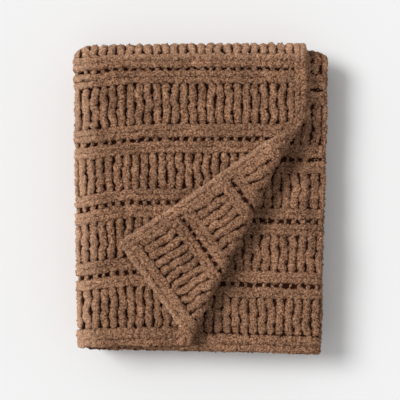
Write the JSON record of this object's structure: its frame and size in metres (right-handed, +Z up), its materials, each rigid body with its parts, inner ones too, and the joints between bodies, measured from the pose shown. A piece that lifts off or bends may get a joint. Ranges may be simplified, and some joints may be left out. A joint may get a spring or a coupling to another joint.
{
  "type": "chunky knit blanket",
  "caption": "Chunky knit throw folded in thirds both ways into a flat stack, with one corner of the top sheet turned back to show the second sheet.",
  "frame": {"origin": "middle of the folded throw's outline seen from above, on the flat underside that rests on a surface", "axes": "+X to the right across the wales, where the second sheet shows; +Y to the back fold, along the length; +Z up through the stack"},
  "size_m": [0.4236, 0.5228, 0.1154],
  "materials": {
    "knit": "matt brown chenille yarn, knitted in rows of tall bars between raised cords"
  },
  "bodies": {
    "root": {"blanket": "knit"}
  },
  "joints": []
}
